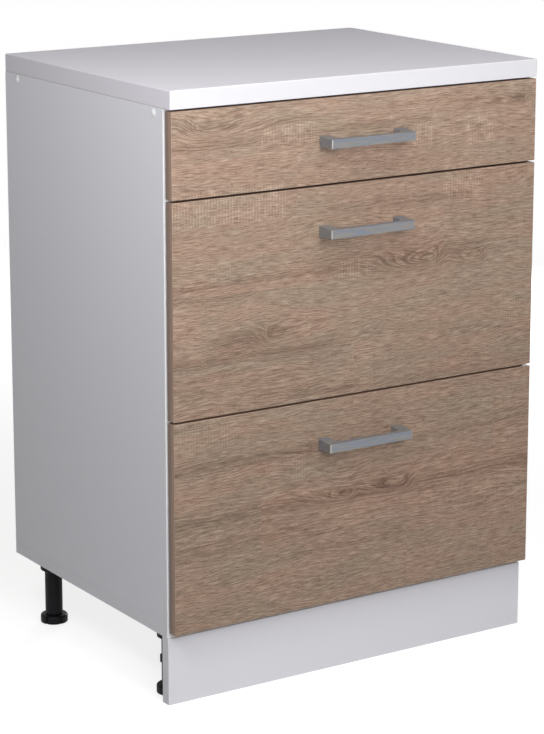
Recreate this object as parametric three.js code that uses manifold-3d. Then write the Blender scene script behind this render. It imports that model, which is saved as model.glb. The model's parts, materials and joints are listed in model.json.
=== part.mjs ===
// Kitchen base cabinet, 600 mm wide, with one shallow and two deep drawers, on four adjustable legs
// behind a clip-on plinth. Millimetres, +Z up. The drawers open towards -Y. The origin is on the floor,
// under the middle of the cabinet's overall box.

import * as THREE from "three";
import { mergeVertices } from "three/addons/utils/BufferGeometryUtils.js";
import Module from "manifold-3d";

// ---------------------------------------------------------------- driving dimensions

// Carcass of coated chipboard
const cabinetWidth = 600;
const carcassHeight = 720;
const legHeight = 95; // floor to the underside of the carcass
const boardThickness = 16; // carcass, drawer fronts, drawer bottoms and plinth
const seam = 0.3; // hairline between pieces that are fastened to each other
const railWidth = 80; // the two flat rails that tie the sides at the top
const backThickness = 3; // hardboard back, slid into grooves
const backInset = 12; // rear edge of the sides to the groove
const grooveDepth = 6;

// Worktop, flush with the drawer fronts, the sides and the rear
const worktopDepth = 460;
const worktopThickness = 25;

// White covers over the screws that hold the top rails
const coverDiameter = 12;
const coverHeight = 2;
const coverPegDiameter = 5;
const coverPegLength = 5;
const frontCoverInset = 23; // from the front edge of the sides
const rearCoverInset = 37; // from their rear edge

// Drawer fronts
const frontGap = 3; // between neighbouring fronts, and behind a front
const frontSideReveal = 1.5;
const frontTopReveal = 2.7;
const frontBottomReveal = 8.3;
const shallowFrontHeight = 116;

// Bow handles
const handleLength = 138;
const handleProjection = 30;
const handleBarHeight = 12;
const handleBarDepth = 9;
const handleLegWidth = 16;
const handleLegHeight = 16; // where it meets the front
const handleFilletRadius = 8;
const handleCornerRadius = 2;
const handleBelowFrontTop = 61; // on the deep fronts; the shallow one has it in the middle

// Steel drawer sides, and the roller runners that carry them
const steelThickness = 1.2;
const shallowSideHeight = 70;
const deepSideHeight = 144;
const runnerSpace = 15.5; // cabinet side to the inner face of a drawer side
const runnerRise = 20; // lower edge of a front to the track of its runner
const runnerFrontInset = 2; // front edge of the carcass to the runner
const runnerRearClearance = 24; // runner to the back panel
const sideRearInset = 3; // rear end of a runner to that of the drawer side it carries
const trackWidth = 11; // how far the runner stands off the cabinet side
const rearRollerDiameter = 17;
const frontRollerDiameter = 18.6;
const rollerWidth = 7;
const rollerEndInset = 12; // end of a runner to its roller's axle
const frontRollerRoom = 3; // front roller to the end of the upper flange behind it
const axleDiameter = 5;
const axleHeadDiameter = 8;
const axleHeadThickness = 0.8;
const runningGap = 0.3; // around rollers, axles and feet
const trackClearance = 0.8; // runner to the flange that passes over it
const sideFlangeWidth = 12; // carries the drawer bottom
const topBeadWidth = 7; // folded upper edge of a drawer side
const topBeadDrop = 5;
const fixingTabTop = 34; // tab that the front is screwed to, above the track
const drawerSideBelowTrack = 1.5; // lower edge of a drawer side under the track
const drawerBackDrop = 6; // top of a drawer's back panel below the top of its sides

// Legs with screw feet
const legInset = 28; // side face of the cabinet to a leg's axis
const frontLegSetback = 58; // face of the drawer fronts to a front leg's axis
const rearLegInset = 64; // rear of the cabinet to a rear leg's axis
const legDiameter = 25.5;
const legPlateSize = 48;
const legPlateThickness = 2.5;
const legHubDiameter = 38;
const legHubHeight = 9.5; // straight part under the plate
const legHubTaper = 4; // tapered part under that
const footDiameter = 40;
const footHeight = 13.5;
const footPadDiameter = 30;
const footPadHeight = 1.5;
const footStemDiameter = 15;
const footStemLength = 36;
const footLobes = 6;
const footNotchDepth = 3;
const footNotchShare = 0.17; // of the way round that the notches take
const footBevel = 1.5; // at the top and bottom of the lobes

// Plinth board and the two clips that hold it on the front legs
const plinthSetback = 17; // face of the drawer fronts to the plinth's face
const clipHeight = 12;
const clipMiddle = 52; // height of a clip's middle above the floor
const clipArmWall = 2;
const clipBaseThickness = 3;
const clipBaseWidth = 44;
const clipArmReach = 4; // how far the arms pass the leg's axis

const roundSides = 20; // facets of legs and rollers
const smallRoundSides = 12; // facets of axles, pegs and covers

// ---------------------------------------------------------------- places that follow from them

const frontFaceY = (handleProjection - worktopDepth) / 2;
const rearY = frontFaceY + worktopDepth;
const carcassFrontY = frontFaceY + boardThickness + frontGap;
const carcassTopZ = legHeight + carcassHeight;
const bottomTopZ = legHeight + boardThickness;
const railBottomZ = carcassTopZ - boardThickness;
const sideX = cabinetWidth / 2;
const innerX = sideX - boardThickness;
const backFrontY = rearY - backInset - backThickness;

const deepFrontHeight =
  (carcassHeight - frontTopReveal - frontBottomReveal - shallowFrontHeight - 2 * frontGap) / 2;
const bottomFrontZ = legHeight + frontBottomReveal;
const middleFrontZ = bottomFrontZ + deepFrontHeight + frontGap;
const topFrontZ = middleFrontZ + deepFrontHeight + frontGap;

const drawers = [
  {
    name: "bottom_drawer",
    frontZ: bottomFrontZ,
    frontHeight: deepFrontHeight,
    sideHeight: deepSideHeight,
    handleZ: bottomFrontZ + deepFrontHeight - handleBelowFrontTop,
  },
  {
    name: "middle_drawer",
    frontZ: middleFrontZ,
    frontHeight: deepFrontHeight,
    sideHeight: deepSideHeight,
    handleZ: middleFrontZ + deepFrontHeight - handleBelowFrontTop,
  },
  {
    name: "top_drawer",
    frontZ: topFrontZ,
    frontHeight: shallowFrontHeight,
    sideHeight: shallowSideHeight,
    handleZ: topFrontZ + shallowFrontHeight / 2,
  },
];

// ---------------------------------------------------------------- materials

const finish = (color, roughness, metalness = 0) =>
  new THREE.MeshStandardMaterial({ color, roughness, metalness });
const whiteBoard = finish(0xe9e8ea, 0.45);
const worktopLaminate = finish(0xe4e3e6, 0.35);
const hardboard = finish(0xe2e0dd, 0.6);
const oakDecor = finish(0xa98f77, 0.55);
const handleGrey = finish(0x8a8c91, 0.4, 0.6);
const whiteSteel = finish(0xe6e6e4, 0.35, 0.1);
const rollerPlastic = finish(0xd9d9d6, 0.5);
const blackPlastic = finish(0x1f1c20, 0.5);
const whitePlastic = finish(0xf2f1f2, 0.3);

// ---------------------------------------------------------------- solids and booleans

const wasm = await Module();
wasm.setup();

// A closed geometry as a solid that can be joined and cut.
function solid(geometry) {
  const bare = geometry.index ? geometry.toNonIndexed() : geometry.clone();
  bare.deleteAttribute("normal");
  bare.deleteAttribute("uv");
  const merged = mergeVertices(bare, 1e-4);
  const vertProperties = merged.attributes.position.array;
  const triVerts = new Uint32Array(merged.index.array);
  return new wasm.Manifold(new wasm.Mesh({ numProp: 3, vertProperties, triVerts }));
}

// The surface of a solid as a geometry that can be drawn.
function surface(body) {
  const mesh = body.getMesh();
  const geometry = new THREE.BufferGeometry();
  geometry.setAttribute("position", new THREE.BufferAttribute(mesh.vertProperties, 3));
  geometry.setIndex(new THREE.BufferAttribute(mesh.triVerts, 1));
  const flat = geometry.toNonIndexed();
  flat.computeVertexNormals();
  return flat;
}

const join = (...bodies) => bodies.reduce((whole, body) => whole.add(body));
const cut = (body, ...tools) => tools.reduce((rest, tool) => rest.subtract(tool), body);

// A block between two corners, each axis given as [low, high].
function block([x0, x1], [y0, y1], [z0, z1]) {
  const geometry = new THREE.BoxGeometry(x1 - x0, y1 - y0, z1 - z0);
  return geometry.translate((x0 + x1) / 2, (y0 + y1) / 2, (z0 + z1) / 2);
}

const outline = (points) => new THREE.Shape(points.map(([a, b]) => new THREE.Vector2(a, b)));
const plainExtrusion = (shape, depth, curveSegments) =>
  new THREE.ExtrudeGeometry(shape, { depth, bevelEnabled: false, curveSegments });

// An outline in X and Y, extruded upwards.
const extrudeUp = (shape, [z0, z1], curveSegments = 6) =>
  plainExtrusion(shape, z1 - z0, curveSegments).translate(0, 0, z0);

// An outline in X and Z, extruded from front to rear.
const extrudeBack = (shape, [y0, y1]) =>
  plainExtrusion(shape, y1 - y0, 1).rotateX(Math.PI / 2).translate(0, y1, 0);

// An outline in Y and Z, extruded from left to right.
const yzToX = new THREE.Matrix4().set(0, 0, 1, 0, 1, 0, 0, 0, 0, 1, 0, 0, 0, 0, 0, 1);
const extrudeRight = (shape, [x0, x1]) =>
  plainExtrusion(shape, x1 - x0, 1).applyMatrix4(yzToX).translate(x0, 0, 0);

// A turned piece: [radius, height] points from the bottom up, around a vertical axis.
function turned(points, sides) {
  const profile = points.map(([radius, height]) => new THREE.Vector2(radius, height));
  return new THREE.LatheGeometry(profile, sides).rotateX(Math.PI / 2);
}

// The same around an axis along X, with the heights along +X for side 1 and along -X for side -1.
const turnedAcross = (points, sides, side) => turned(points, sides).rotateY((side * Math.PI) / 2);

const cylinderPoints = (radius, low, high) => [
  [0, low],
  [radius, low],
  [radius, high],
  [0, high],
];

// ---------------------------------------------------------------- scene graph

const cabinet = new THREE.Group();
const carcass = new THREE.Group();
cabinet.add(carcass);

function place(parent, name, geometry, material, position = [0, 0, 0]) {
  const mesh = new THREE.Mesh(geometry, material);
  mesh.name = name;
  mesh.position.set(...position);
  parent.add(mesh);
}

const hands = [
  { hand: "left", side: -1 },
  { hand: "right", side: 1 },
];

// A range of X given for the right-hand side, mirrored for the left.
const mirrored = (side, [a, b]) => (side > 0 ? [a, b] : [-b, -a]);

// ---------------------------------------------------------------- carcass

const coverPlaces = [
  { end: "front", y: carcassFrontY + frontCoverInset },
  { end: "rear", y: rearY - rearCoverInset },
];
const coverZ = carcassTopZ - boardThickness / 2;

// The side stands on the bottom panel, grooved for the back and bored for the two screw covers.
function sidePanel(side) {
  const panel = solid(
    block(
      mirrored(side, [innerX, sideX]),
      [carcassFrontY, rearY],
      [bottomTopZ + seam, carcassTopZ - seam],
    ),
  );
  const groove = solid(
    block(
      mirrored(side, [innerX - 1, innerX + grooveDepth]),
      [backFrontY - seam, backFrontY + backThickness + seam],
      [legHeight, carcassTopZ],
    ),
  );
  const bores = coverPlaces.map(({ y }) =>
    solid(
      turnedAcross(
        cylinderPoints(coverPegDiameter / 2 + seam, -coverPegLength - seam, coverHeight),
        smallRoundSides,
        side,
      ).translate(side * sideX, y, coverZ),
    ),
  );
  return surface(cut(panel, groove, ...bores));
}

// The bottom panel runs under both sides, and is grooved for the back between them.
function bottomPanel() {
  const panel = block([-sideX, sideX], [carcassFrontY, rearY], [legHeight, bottomTopZ]);
  const groove = block(
    [-innerX - grooveDepth, innerX + grooveDepth],
    [backFrontY - seam, backFrontY + backThickness + seam],
    [bottomTopZ - grooveDepth, bottomTopZ + 1],
  );
  return surface(cut(solid(panel), solid(groove)));
}

// A domed cap with a peg that presses into the screw's head.
function screwCover(side) {
  const rim = coverDiameter / 2;
  const points = [
    [0, -coverPegLength],
    [coverPegDiameter / 2, -coverPegLength],
    [coverPegDiameter / 2, seam],
    [rim, seam],
    [rim, coverHeight * 0.45],
    [rim * 0.85, coverHeight * 0.75],
    [rim * 0.5, coverHeight * 0.95],
    [0, coverHeight],
  ];
  return turnedAcross(points, smallRoundSides, side);
}

place(carcass, "bottom_panel", bottomPanel(), whiteBoard);
for (const { hand, side } of hands) {
  place(carcass, `side_${hand}`, sidePanel(side), whiteBoard);
  for (const { end, y } of coverPlaces)
    place(carcass, `screw_cover_${end}_${hand}`, screwCover(side), whitePlastic, [
      side * sideX,
      y,
      coverZ,
    ]);
}

const railX = [-innerX + seam, innerX - seam];
const railZ = [railBottomZ, carcassTopZ - seam];
const rearRailRearY = backFrontY - 2 * seam;
place(
  carcass,
  "top_rail_front",
  block(railX, [carcassFrontY, carcassFrontY + railWidth], railZ),
  whiteBoard,
);
place(
  carcass,
  "top_rail_rear",
  block(railX, [rearRailRearY - railWidth, rearRailRearY], railZ),
  whiteBoard,
);
place(
  carcass,
  "back_panel",
  block(
    [-innerX - grooveDepth + seam, innerX + grooveDepth - seam],
    [backFrontY, backFrontY + backThickness],
    [bottomTopZ - grooveDepth + seam, carcassTopZ - seam],
  ),
  hardboard,
);
place(
  carcass,
  "worktop",
  block([-sideX, sideX], [frontFaceY, rearY], [carcassTopZ, carcassTopZ + worktopThickness]),
  worktopLaminate,
);

// ---------------------------------------------------------------- legs and feet

const frontLegY = frontFaceY + frontLegSetback;
const legPlaces = [
  { end: "front", y: frontLegY },
  { end: "rear", y: rearY - rearLegInset },
];
const legX = sideX - legInset;
const stemBoreRadius = footStemDiameter / 2 + runningGap;

// A leg, from the screwed plate under the cabinet down to the end of the column above the foot.
function leg() {
  const plateZ = legHeight - seam - legPlateThickness;
  const half = legPlateSize / 2;
  const plate = block([-half, half], [-half, half], [plateZ, plateZ + legPlateThickness]);
  const columnZ = footHeight + runningGap;
  const column = turned(
    [
      [0, columnZ],
      [legDiameter / 2, columnZ],
      [legDiameter / 2, plateZ - legHubHeight - legHubTaper],
      [legHubDiameter / 2, plateZ - legHubHeight],
      [legHubDiameter / 2, plateZ + 1],
      [0, plateZ + 1],
    ],
    roundSides,
  );
  const stemTop = footHeight + footStemLength + 2 * runningGap;
  const bore = turned(cylinderPoints(stemBoreRadius, footHeight - 1, stemTop), roundSides);
  return surface(cut(join(solid(plate), solid(column)), solid(bore)));
}

// A screw foot: a flat pad, a bevelled grip of equal lobes with a notch between each two, and the stem
// that turns in the leg.
function foot() {
  const facets = 4;
  const pitch = (2 * Math.PI) / footLobes;
  const lobe = pitch * (1 - footNotchShare);
  const rim = [];
  const addToRim = (radius, angle) => rim.push([radius * Math.cos(angle), radius * Math.sin(angle)]);
  for (let i = 0; i < footLobes; i++) {
    for (let k = 0; k <= facets; k++)
      addToRim(footDiameter / 2, i * pitch + lobe * (k / facets - 0.5));
    addToRim(footDiameter / 2 - footNotchDepth, (i + 0.5) * pitch);
  }
  const grip = new THREE.ExtrudeGeometry(outline(rim), {
    depth: footHeight - footPadHeight - 2 * footBevel,
    bevelThickness: footBevel,
    bevelSize: footBevel,
    bevelOffset: -footBevel,
    bevelSegments: 1,
  }).translate(0, 0, footPadHeight + footBevel);
  const pad = turned(cylinderPoints(footPadDiameter / 2, 0, footPadHeight + 1), roundSides);
  const stemTop = footHeight + footStemLength;
  const stem = turned(cylinderPoints(footStemDiameter / 2, 1, stemTop), roundSides);
  return surface(join(solid(grip), solid(pad), solid(stem)));
}

for (const { hand, side } of hands)
  for (const { end, y } of legPlaces) {
    const position = [side * legX, y, 0];
    place(carcass, `leg_${end}_${hand}`, leg(), blackPlastic, position);
    place(carcass, `foot_${end}_${hand}`, foot(), blackPlastic, position);
  }

// ---------------------------------------------------------------- plinth

const plinth = new THREE.Group();
cabinet.add(plinth);
const plinthFrontY = frontFaceY + plinthSetback;
const plinthRearY = plinthFrontY + boardThickness;

place(
  plinth,
  "plinth_board",
  block([-sideX, sideX], [plinthFrontY, plinthRearY], [0, legHeight - seam]),
  whiteBoard,
);

// A clip: a base on the back of the plinth board and a U-shaped fork that snaps round the leg. Its
// outline is drawn around the leg's axis, with the base towards the front.
function plinthClip() {
  const slot = legDiameter / 2 + runningGap;
  const outer = slot + clipArmWall;
  const base = plinthRearY + seam - frontLegY;
  const half = clipBaseWidth / 2;
  const shape = new THREE.Shape();
  shape.moveTo(-half, base);
  shape.lineTo(half, base);
  shape.lineTo(half, base + clipBaseThickness);
  shape.lineTo(outer, base + clipBaseThickness);
  shape.lineTo(outer, clipArmReach);
  shape.lineTo(slot, clipArmReach);
  shape.lineTo(slot, 0);
  shape.absarc(0, 0, slot, 0, Math.PI, true);
  shape.lineTo(-slot, clipArmReach);
  shape.lineTo(-outer, clipArmReach);
  shape.lineTo(-outer, base + clipBaseThickness);
  shape.lineTo(-half, base + clipBaseThickness);
  shape.closePath();
  return extrudeUp(shape, [clipMiddle - clipHeight / 2, clipMiddle + clipHeight / 2], 12);
}

for (const { hand, side } of hands)
  place(plinth, `plinth_clip_${hand}`, plinthClip(), blackPlastic, [side * legX, frontLegY, 0]);

// ---------------------------------------------------------------- drawers and runners

const trackFrontY = carcassFrontY + runnerFrontInset;
const trackRearY = backFrontY - runnerRearClearance;
const trackInsideHeight = rearRollerDiameter + 2 * runningGap;
const flangeZ = trackInsideHeight + steelThickness + trackClearance;
const frontAxleY = trackFrontY + rollerEndInset;
const sideFrontY = frontFaceY + boardThickness + seam;
const sideRearY = trackRearY - sideRearInset;
const rearAxleY = sideRearY - rollerEndInset;
const drawerInnerX = innerX - runnerSpace;
const rearRollerZ = trackInsideHeight / 2;
const frontRollerZ = flangeZ - runningGap - frontRollerDiameter / 2;

// X of the rollers, measured from the cabinet side's inner face towards the middle
const rollerFrom = seam + steelThickness + 2 * runningGap + axleHeadThickness;
const rollerTo = rollerFrom + rollerWidth;

// An axle with a flat head, round the X axis from one X to another. The head is at the second end.
function axle(from, to, y, z) {
  const direction = Math.sign(to - from);
  const length = Math.abs(to - from);
  const points = [
    [0, 0],
    [axleDiameter / 2, 0],
    [axleDiameter / 2, length - axleHeadThickness],
    [axleHeadDiameter / 2, length - axleHeadThickness],
    [axleHeadDiameter / 2, length],
    [0, length],
  ];
  return solid(turnedAcross(points, smallRoundSides, direction).translate(from, y, z));
}

// A plastic roller with a bore for its axle, centred on its middle.
function roller(diameter) {
  const half = rollerWidth / 2;
  const bore = axleDiameter / 2 + runningGap;
  const rim = diameter / 2;
  const points = [
    [bore, -half],
    [rim, -half],
    [rim, half],
    [bore, half],
    [bore, -half],
  ];
  return turnedAcross(points, roundSides, 1);
}

// The cabinet's half of a runner: a channel open towards the drawer, whose upper flange stops short
// of the front roller, and that roller's axle. Z is measured from the track.
function cabinetRunner(side) {
  const web = innerX - seam;
  const tip = innerX - seam - trackWidth;
  const top = trackInsideHeight;
  const steel = steelThickness;
  const channel = outline(
    [
      [web, -steel],
      [web, top + steel],
      [tip, top + steel],
      [tip, top],
      [web - steel, top],
      [web - steel, 0],
      [tip, 0],
      [tip, -steel],
    ].map(([x, z]) => [side * x, z]),
  );
  const rollerRoom = block(
    mirrored(side, [tip - 1, web - steel]),
    [trackFrontY - 1, frontAxleY + frontRollerDiameter / 2 + frontRollerRoom],
    [top / 2, top + steel + 1],
  );
  const axleFrom = side * (web - steel / 2);
  const axleTo = side * (innerX - rollerTo - runningGap - axleHeadThickness);
  return surface(
    join(
      cut(solid(extrudeBack(channel, [trackFrontY, trackRearY])), solid(rollerRoom)),
      axle(axleFrom, axleTo, frontAxleY, frontRollerZ),
    ),
  );
}

// A steel drawer side with its runner flange, the flange under the drawer bottom, the folded upper
// edge, the tab for the front and the rear roller's axle. Z is measured from the track.
function drawerSide(side, height) {
  const steel = steelThickness;
  const inner = drawerInnerX;
  const outer = drawerInnerX + steel;
  const low = -drawerSideBelowTrack;
  const high = low + height;
  const flangeTip = innerX - 2 * seam - steel;
  const section = outline(
    [
      [inner - sideFlangeWidth, low],
      [outer, low],
      [outer, flangeZ],
      [flangeTip, flangeZ],
      [flangeTip, flangeZ + steel],
      [outer, flangeZ + steel],
      [outer, high - steel],
      [outer + topBeadWidth - steel, high - steel],
      [outer + topBeadWidth - steel, high - topBeadDrop],
      [outer + topBeadWidth, high - topBeadDrop],
      [outer + topBeadWidth, high],
      [inner, high],
      [inner, low + steel],
      [inner - sideFlangeWidth, low + steel],
    ].map(([x, z]) => [side * x, z]),
  );
  const tab = block(
    mirrored(side, [inner + steel / 2, flangeTip]),
    [sideFrontY, sideFrontY + steel],
    [flangeZ + steel / 2, fixingTabTop],
  );
  const axleFrom = side * (inner + steel / 2);
  const axleTo = side * (innerX - rollerFrom + runningGap + axleHeadThickness);
  return surface(
    join(
      solid(extrudeBack(section, [sideFrontY, sideRearY])),
      solid(tab),
      axle(axleFrom, axleTo, rearAxleY, rearRollerZ),
    ),
  );
}

// A bow handle, made where its plan and its side view meet. Y is measured from the drawer front's face.
function bowHandle() {
  const end = handleLength / 2;
  const inner = end - handleLegWidth;
  const tip = -handleProjection;
  const barBack = tip + handleBarDepth;
  const corner = handleCornerRadius;
  const fillet = handleFilletRadius;
  const plan = new THREE.Shape();
  plan.moveTo(-end, -seam);
  plan.lineTo(-end, tip + corner);
  plan.absarc(-end + corner, tip + corner, corner, Math.PI, 1.5 * Math.PI, false);
  plan.lineTo(end - corner, tip);
  plan.absarc(end - corner, tip + corner, corner, 1.5 * Math.PI, 2 * Math.PI, false);
  plan.lineTo(end, -seam);
  plan.lineTo(inner, -seam);
  plan.lineTo(inner, barBack + fillet);
  plan.absarc(inner - fillet, barBack + fillet, fillet, 0, -0.5 * Math.PI, true);
  plan.lineTo(-inner + fillet, barBack);
  plan.absarc(-inner + fillet, barBack + fillet, fillet, -0.5 * Math.PI, -Math.PI, true);
  plan.lineTo(-inner, -seam);
  plan.closePath();
  const bar = handleBarHeight / 2;
  const root = handleLegHeight / 2;
  const sideView = outline([
    [0, -root],
    [0, root],
    [barBack, bar],
    [tip, bar],
    [tip, -bar],
    [barBack, -bar],
  ]);
  const upright = solid(extrudeUp(plan, [-root, root], 4));
  return surface(upright.intersect(solid(extrudeRight(sideView, [-end - 1, end + 1]))));
}

// The front, the handle, the steel sides, the bottom and the back of one drawer, in a group whose
// height is the drawer's track, and the two runners that stay in the cabinet.
for (const { name, frontZ, frontHeight, sideHeight, handleZ } of drawers) {
  const trackZ = frontZ + runnerRise;
  const drawer = new THREE.Group();
  const runners = new THREE.Group();
  drawer.position.z = trackZ;
  runners.position.z = trackZ;
  cabinet.add(drawer);
  carcass.add(runners);

  const panelHalf = sideX - frontSideReveal;
  const frontBottom = frontZ - trackZ;
  place(
    drawer,
    `${name}_front`,
    block(
      [-panelHalf, panelHalf],
      [frontFaceY, frontFaceY + boardThickness],
      [frontBottom, frontBottom + frontHeight],
    ),
    oakDecor,
  );
  place(drawer, `${name}_handle`, bowHandle(), handleGrey, [0, frontFaceY, handleZ - trackZ]);

  const insideHalf = drawerInnerX - seam;
  const bottomLow = steelThickness - drawerSideBelowTrack + seam;
  const bottomHigh = bottomLow + boardThickness;
  place(
    drawer,
    `${name}_bottom`,
    block([-insideHalf, insideHalf], [sideFrontY, sideRearY], [bottomLow, bottomHigh]),
    whiteBoard,
  );
  place(
    drawer,
    `${name}_back`,
    block(
      [-insideHalf, insideHalf],
      [sideRearY - boardThickness, sideRearY],
      [bottomHigh + seam, sideHeight - drawerSideBelowTrack - drawerBackDrop],
    ),
    whiteBoard,
  );

  for (const { hand, side } of hands) {
    const rollerX = side * (innerX - (rollerFrom + rollerTo) / 2);
    place(drawer, `${name}_side_${hand}`, drawerSide(side, sideHeight), whiteSteel);
    place(runners, `${name}_runner_${hand}`, cabinetRunner(side), whiteSteel);
    place(drawer, `${name}_rear_roller_${hand}`, roller(rearRollerDiameter), rollerPlastic, [
      rollerX,
      rearAxleY,
      rearRollerZ,
    ]);
    place(runners, `${name}_front_roller_${hand}`, roller(frontRollerDiameter), rollerPlastic, [
      rollerX,
      frontAxleY,
      frontRollerZ,
    ]);
  }
}

export default cabinet;
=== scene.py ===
# %% [markdown]
# # A kitchen base cabinet with three drawers
# The cabinet stands here as 58 plain solids: boards, steel drawer sides, runners, rollers, legs
# and feet, each in its real place and moving with its own body. This lesson gives them their
# looks. Boards get softened edges and a coating, the fronts get a sawn oak decor, and metal and
# plastic pieces get rounder shapes. Nothing is moved or resized: a finished piece always fills
# the place of its solid.

# %% The frame of solids
import json
import math

import bmesh
import bpy
from mathutils import Matrix, Vector

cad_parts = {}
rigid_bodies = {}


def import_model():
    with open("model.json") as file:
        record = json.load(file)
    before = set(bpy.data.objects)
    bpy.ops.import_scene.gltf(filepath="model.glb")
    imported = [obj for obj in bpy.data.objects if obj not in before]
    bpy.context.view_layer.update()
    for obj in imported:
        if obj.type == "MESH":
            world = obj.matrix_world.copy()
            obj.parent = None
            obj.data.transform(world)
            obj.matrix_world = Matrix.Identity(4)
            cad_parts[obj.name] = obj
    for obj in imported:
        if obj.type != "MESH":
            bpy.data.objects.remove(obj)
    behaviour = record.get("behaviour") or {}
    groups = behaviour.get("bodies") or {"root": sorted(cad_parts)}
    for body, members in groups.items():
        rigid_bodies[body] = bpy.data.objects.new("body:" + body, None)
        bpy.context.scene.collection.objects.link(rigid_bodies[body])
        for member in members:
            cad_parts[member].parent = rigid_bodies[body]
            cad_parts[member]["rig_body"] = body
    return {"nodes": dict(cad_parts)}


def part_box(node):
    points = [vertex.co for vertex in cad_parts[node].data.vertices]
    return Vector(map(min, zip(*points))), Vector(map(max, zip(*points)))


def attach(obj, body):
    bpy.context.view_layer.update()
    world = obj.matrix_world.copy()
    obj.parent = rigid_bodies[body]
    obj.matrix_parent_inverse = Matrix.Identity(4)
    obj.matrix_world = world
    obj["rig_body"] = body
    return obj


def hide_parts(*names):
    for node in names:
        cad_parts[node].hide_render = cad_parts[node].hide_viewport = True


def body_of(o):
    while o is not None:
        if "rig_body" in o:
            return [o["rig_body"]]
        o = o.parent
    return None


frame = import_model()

MM = 0.001
HANDS = ("left", "right")
CORNERS = [f"{end}_{hand}" for end in ("front", "rear") for hand in HANDS]
DRAWERS = ("bottom_drawer", "middle_drawer", "top_drawer")
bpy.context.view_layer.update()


def add_object(name, data):
    """A new object in the scene."""
    thing = bpy.data.objects.new(name, data)
    bpy.context.scene.collection.objects.link(thing)
    return thing


# %% [markdown]
# ## The camera
# The photograph is taken with a long lens from the front left, a little above the worktop. Its
# uprights are parallel, which a real camera does with a strongly shifted lens. A shift of a
# tenth of the picture keeps a part of that, and still leaves the cabinet in the picture when
# the camera walks round it.

# %% Camera
PICTURE_HEIGHT_PX = 734
FOCAL_LENGTH_PX = 2534.4
SENSOR_MM = 36.0
CAMERA_AT = Vector((-1.9423, -2.9834, 1.2885))
CAMERA_HEADING = math.radians(33.0)
CAMERA_TILT = math.radians(12.51)
LENS_SHIFT = -0.10


def make_camera():
    data = bpy.data.cameras.new("camera")
    data.sensor_width = SENSOR_MM
    data.lens = FOCAL_LENGTH_PX * SENSOR_MM / PICTURE_HEIGHT_PX
    data.shift_y = LENS_SHIFT
    camera = add_object("camera", data)
    looking = Vector((
        math.sin(CAMERA_HEADING) * math.cos(CAMERA_TILT),
        math.cos(CAMERA_HEADING) * math.cos(CAMERA_TILT),
        -math.sin(CAMERA_TILT),
    ))
    camera.location = CAMERA_AT
    camera.rotation_euler = looking.to_track_quat("-Z", "Y").to_euler()
    bpy.context.scene.camera = camera
    return camera


camera = make_camera()
print("lens:", round(camera.data.lens, 1), "mm")

# %% [markdown]
# ## Formulas as node graphs
# Materials and Geometry Nodes are both graphs, but a formula is easier to read than a graph.
# `Value` wraps one output socket and turns `+`, `-`, `*` and `/` into Math nodes. `Graph.add`
# makes every other node: its kind, its settings, and what goes into its sockets.

# %% Values and graphs


class Value:
    """One output socket. Arithmetic on it adds Math nodes to its graph."""

    def __init__(self, graph, socket):
        self.graph = graph
        self.socket = socket

    def __add__(self, other):
        return self.graph.math("ADD", self, other)

    def __radd__(self, other):
        return self.graph.math("ADD", other, self)

    def __sub__(self, other):
        return self.graph.math("SUBTRACT", self, other)

    def __rsub__(self, other):
        return self.graph.math("SUBTRACT", other, self)

    def __mul__(self, other):
        return self.graph.math("MULTIPLY", self, other)

    def __rmul__(self, other):
        return self.graph.math("MULTIPLY", other, self)

    def __truediv__(self, other):
        return self.graph.math("DIVIDE", self, other)

    def __rtruediv__(self, other):
        return self.graph.math("DIVIDE", other, self)


class Graph:
    """A node tree that is written as expressions."""

    def __init__(self, tree):
        self.tree = tree

    def add(self, kind, settings=None, inputs=None, output=0):
        """A node: its settings first, then numbers, Values or lists of Values into sockets."""
        node = self.tree.nodes.new(kind)
        for name, setting in (settings or {}).items():
            if name == "stops":
                self.set_stops(node.color_ramp, setting)
            else:
                setattr(node, name, setting)
        for name, given in (inputs or {}).items():
            if isinstance(given, Value):
                self.tree.links.new(given.socket, node.inputs[name])
            elif isinstance(given, list):
                for value in given:
                    self.tree.links.new(value.socket, node.inputs[name])
            else:
                node.inputs[name].default_value = given
        return Value(self, node.outputs[output]) if node.outputs else None

    @staticmethod
    def set_stops(ramp, stops):
        while len(ramp.elements) < len(stops):
            ramp.elements.new(1.0)
        for element, (position, rgb) in zip(ramp.elements, stops):
            element.position = position
            element.color = (*rgb, 1.0)

    def math(self, operation, *values):
        return self.add("ShaderNodeMath", {"operation": operation}, dict(enumerate(values)))

    def vector(self, x, y, z):
        return self.add("ShaderNodeCombineXYZ", inputs={"X": x, "Y": y, "Z": z})


# %% [markdown]
# A `Recipe` is a graph that makes a material. Its patterns are all built on the place of a
# point on the object, in millimetres, so their scale is the real one: a pore of 8 mm is written
# as 8.

# %% Material recipes


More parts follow.
